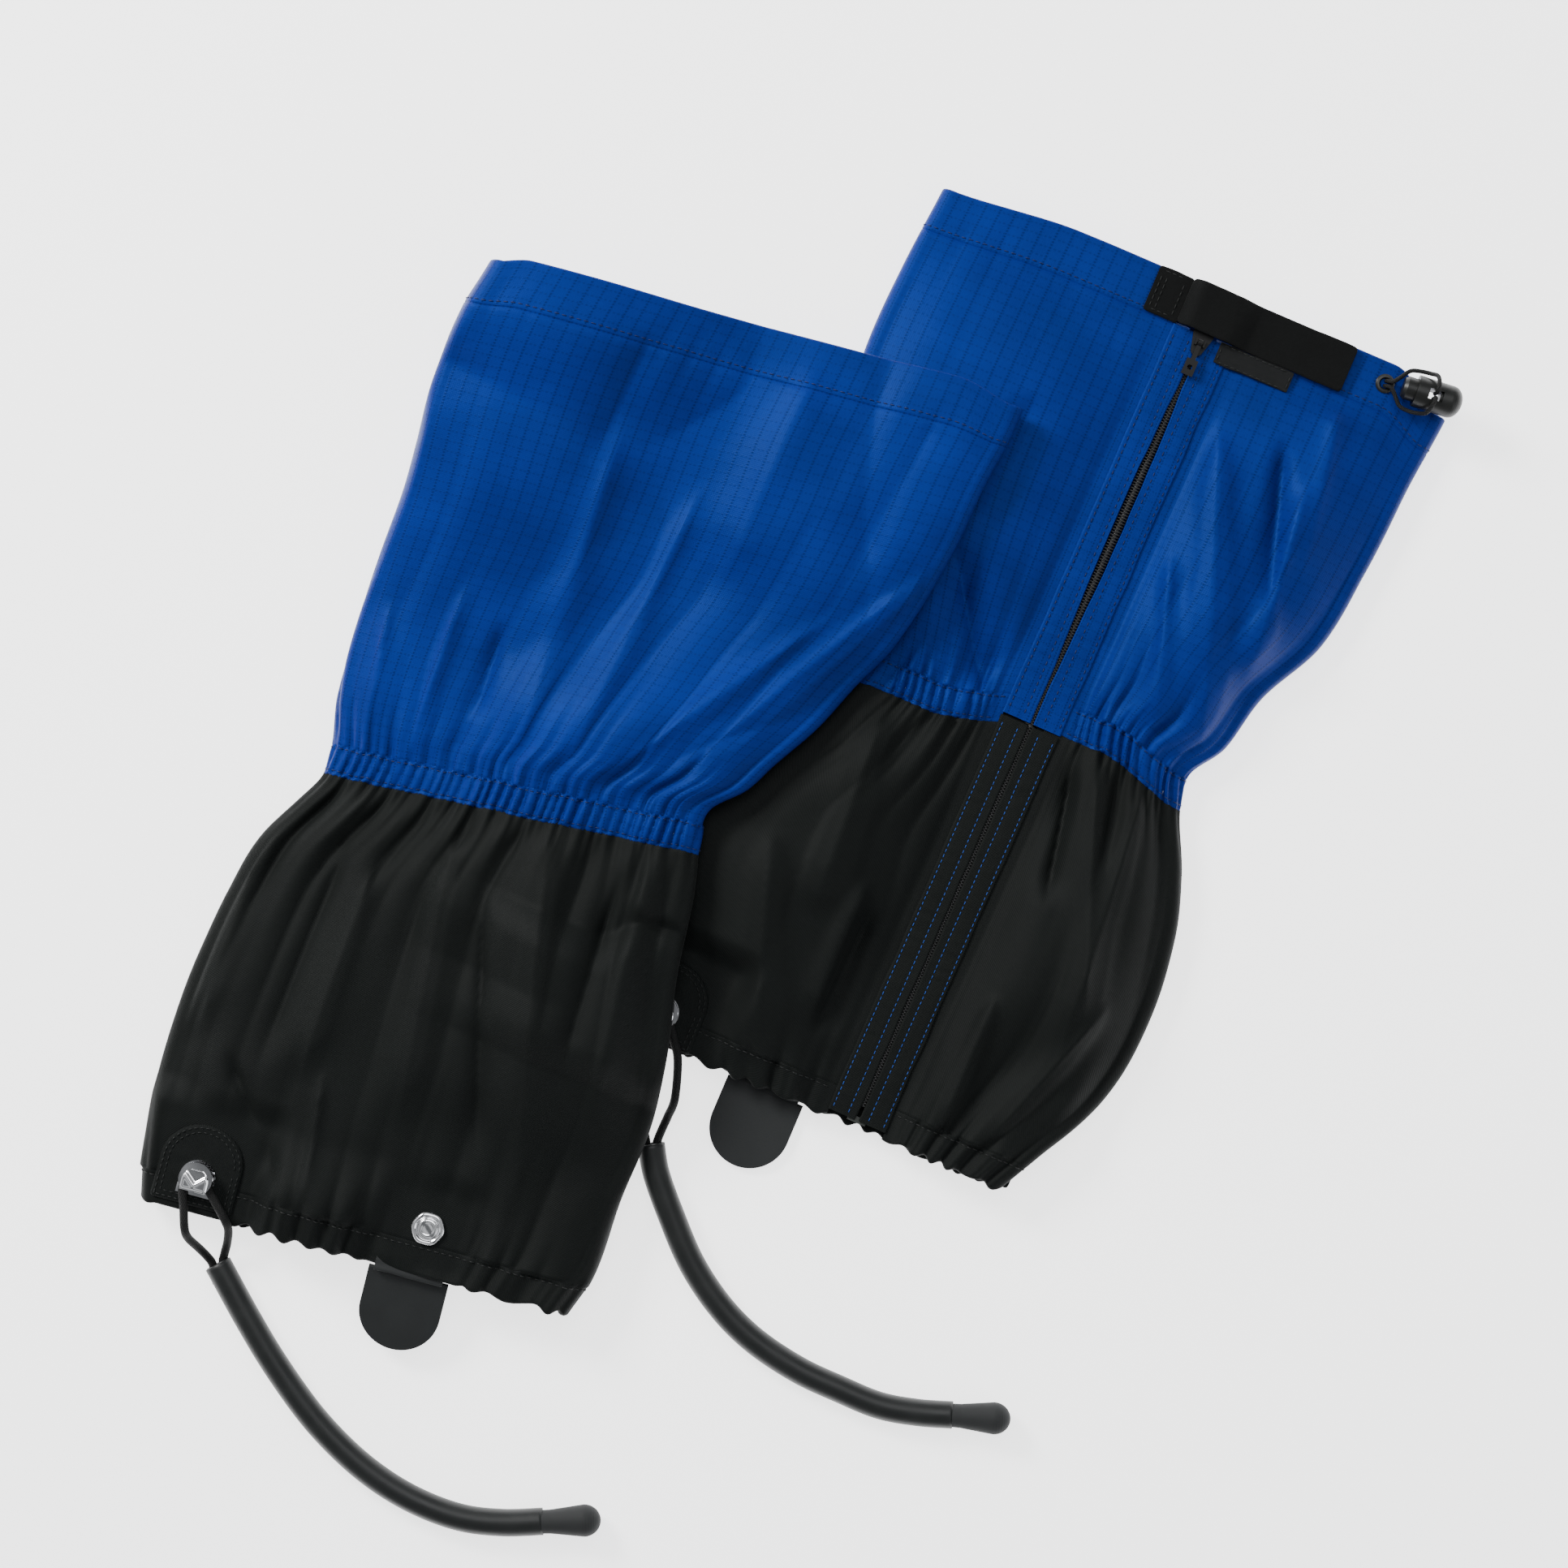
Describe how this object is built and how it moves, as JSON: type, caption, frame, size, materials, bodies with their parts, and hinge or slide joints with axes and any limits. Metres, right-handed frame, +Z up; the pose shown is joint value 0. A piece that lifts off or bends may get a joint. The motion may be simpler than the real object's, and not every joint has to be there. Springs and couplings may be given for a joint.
{
  "type": "pair of trekking gaiters",
  "caption": "Pair of hook-on leg gaiters lying flat, blue uppers and black lowers, zip, closure flap, cord lock, side hooks and instep straps.",
  "frame": {"origin": "centre of the underside of the pair, cords and cord locks left out", "axes": "+Z up from the surface the pair lies on, +Y towards the upper ends of both gaiters, +X to the right of the pair seen from above"},
  "size_m": [0.5481, 0.5629, 0.0418],
  "materials": {
    "blue_cloth": "satin",
    "black_cloth": "matte",
    "elastic": "matte",
    "cord": "matte",
    "zip_tape": "matte",
    "zip_coil": "satin",
    "slider_metal": "satin",
    "flap_cloth": "matte",
    "black_plastic": "gloss",
    "steel": "satin",
    "chrome": "polished",
    "rubber": "matte",
    "end_rubber": "satin"
  },
  "bodies": {
    "right_gaiter": {"right_top_hem": "blue_cloth", "right_upper_panel": "blue_cloth", "right_waist_casing": "blue_cloth", "right_lower_panel": "black_cloth", "right_bottom_casing": "black_cloth", "right_elastics": "elastic", "right_drawcord": "cord", "right_upper_facings": "blue_cloth", "right_lower_facings": "black_cloth", "right_zip_tapes": "zip_tape", "right_zip_chain": "zip_coil", "right_zip_retainer": "slider_metal", "right_flap_anchor": "flap_cloth", "right_fabric_label": "flap_cloth", "right_eyelet": "black_plastic", "right_hook_patches": "black_cloth", "right_side_hooks": "chrome", "right_hook_rivets": "chrome", "right_lace_hook": "chrome"},
    "right_slider": {"right_zip_slider": "slider_metal"},
    "right_pull": {"right_zip_pull": "slider_metal"},
    "right_flap": {"right_closure_flap": "flap_cloth"},
    "right_lock": {"right_lock_barrel": "black_plastic", "right_lock_spring": "steel", "right_cord_loop": "cord"},
    "right_plunger": {"right_lock_plunger": "black_plastic"},
    "right_strap": {"right_strap_loop": "cord", "right_strap_tube": "rubber", "right_strap_end_cap": "end_rubber"},
    "right_tab": {"right_front_tab": "rubber"},
    "left_gaiter": {"left_top_hem": "blue_cloth", "left_upper_panel": "blue_cloth", "left_waist_casing": "blue_cloth", "left_lower_panel": "black_cloth", "left_bottom_casing": "black_cloth", "left_elastics": "elastic", "left_drawcord": "cord", "left_upper_facings": "blue_cloth", "left_lower_facings": "black_cloth", "left_zip_tapes": "zip_tape", "left_zip_chain": "zip_coil", "left_zip_retainer": "slider_metal", "left_flap_anchor": "flap_cloth", "left_fabric_label": "flap_cloth", "left_eyelet": "black_plastic", "left_hook_patches": "black_cloth", "left_side_hooks": "chrome", "left_hook_rivets": "chrome", "left_lace_hook": "chrome"},
    "left_slider": {"left_zip_slider": "slider_metal"},
    "left_pull": {"left_zip_pull": "slider_metal"},
    "left_flap": {"left_closure_flap": "flap_cloth"},
    "left_lock": {"left_lock_barrel": "black_plastic", "left_lock_spring": "steel", "left_cord_loop": "cord"},
    "left_plunger": {"left_lock_plunger": "black_plastic"},
    "left_strap": {"left_strap_loop": "cord", "left_strap_tube": "rubber", "left_strap_end_cap": "end_rubber"},
    "left_tab": {"left_front_tab": "rubber"}
  },
  "joints": [
    {"name": "left_gaiter_lift", "type": "slide", "parent": "right_gaiter", "child": "left_gaiter", "axis": [0, 0, 1], "range_m": [0, 0.15]},
    {"name": "right_zip", "type": "slide", "parent": "right_gaiter", "child": "right_slider", "axis": [-0.4035, -0.915, 0], "range_m": [0, 0.344], "deforming": ["right_zip_chain"]},
    {"name": "right_pull_hinge", "type": "hinge", "parent": "right_slider", "child": "right_pull", "pos_m": [0.1682, 0.1766, 0.0161], "axis": [-0.915, 0.4035, 0], "range_deg": [0, 95]},
    {"name": "right_flap_hinge", "type": "hinge", "parent": "right_gaiter", "child": "right_flap", "pos_m": [0.1627, 0.19418, 0.014], "axis": [-0.3907, -0.9205, 0], "range_deg": [0, 120]},
    {"name": "right_lock_swing", "type": "hinge", "parent": "right_gaiter", "child": "right_lock", "pos_m": [0.24547, 0.16013, 0.012], "axis": [0, 0, 1], "range_deg": [-8, 75]},
    {"name": "right_lock_plunger_press", "type": "slide", "parent": "right_lock", "child": "right_plunger", "axis": [0.9511, -0.309, 0], "range_m": [0, 0.0036], "stiffness_N_per_m": 80, "springref_m": -0.002, "deforming": ["right_lock_spring"]},
    {"name": "right_strap_swing", "type": "hinge", "parent": "right_gaiter", "child": "right_strap", "pos_m": [-0.05703, -0.10462, 0.018], "axis": [0, 0, 1], "range_deg": [-2, 15]},
    {"name": "right_tab_fold", "type": "hinge", "parent": "right_gaiter", "child": "right_tab", "pos_m": [-0.01254, -0.13545, 0.0017], "axis": [-0.9205, 0.3907, 0], "range_deg": [0, 75]},
    {"name": "left_zip", "type": "slide", "parent": "left_gaiter", "child": "left_slider", "axis": [-0.4555, -0.8902, 0], "range_m": [0, 0.389], "deforming": ["left_zip_chain"]},
    {"name": "left_pull_hinge", "type": "hinge", "parent": "left_slider", "child": "left_pull", "pos_m": [-0.03065, 0.16257, 0.0049], "axis": [0.8902, -0.4555, 0], "range_deg": [0, 95]},
    {"name": "left_flap_hinge", "type": "hinge", "parent": "left_gaiter", "child": "left_flap", "pos_m": [-0.01466, 0.17264, 0.007], "axis": [-0.2588, -0.9659, 0], "range_deg": [0, 120]},
    {"name": "left_lock_swing", "type": "hinge", "parent": "left_gaiter", "child": "left_lock", "pos_m": [-0.10328, 0.19535, 0.0172], "axis": [0, 0, -1], "range_deg": [-5, 70]},
    {"name": "left_lock_plunger_press", "type": "slide", "parent": "left_lock", "child": "left_plunger", "axis": [-0.5, -0.866, 0], "range_m": [0, 0.0036], "stiffness_N_per_m": 80, "springref_m": -0.002, "deforming": ["left_lock_spring"]},
    {"name": "left_strap_swing", "type": "hinge", "parent": "left_gaiter", "child": "left_strap", "pos_m": [-0.24869, -0.17348, 0.018], "axis": [0, 0, 1], "range_deg": [-35, 2]},
    {"name": "left_tab_fold", "type": "hinge", "parent": "left_gaiter", "child": "left_tab", "pos_m": [-0.16029, -0.21063, 0.0193], "axis": [-0.9659, 0.2588, 0], "range_deg": [-8, 60]}
  ]
}
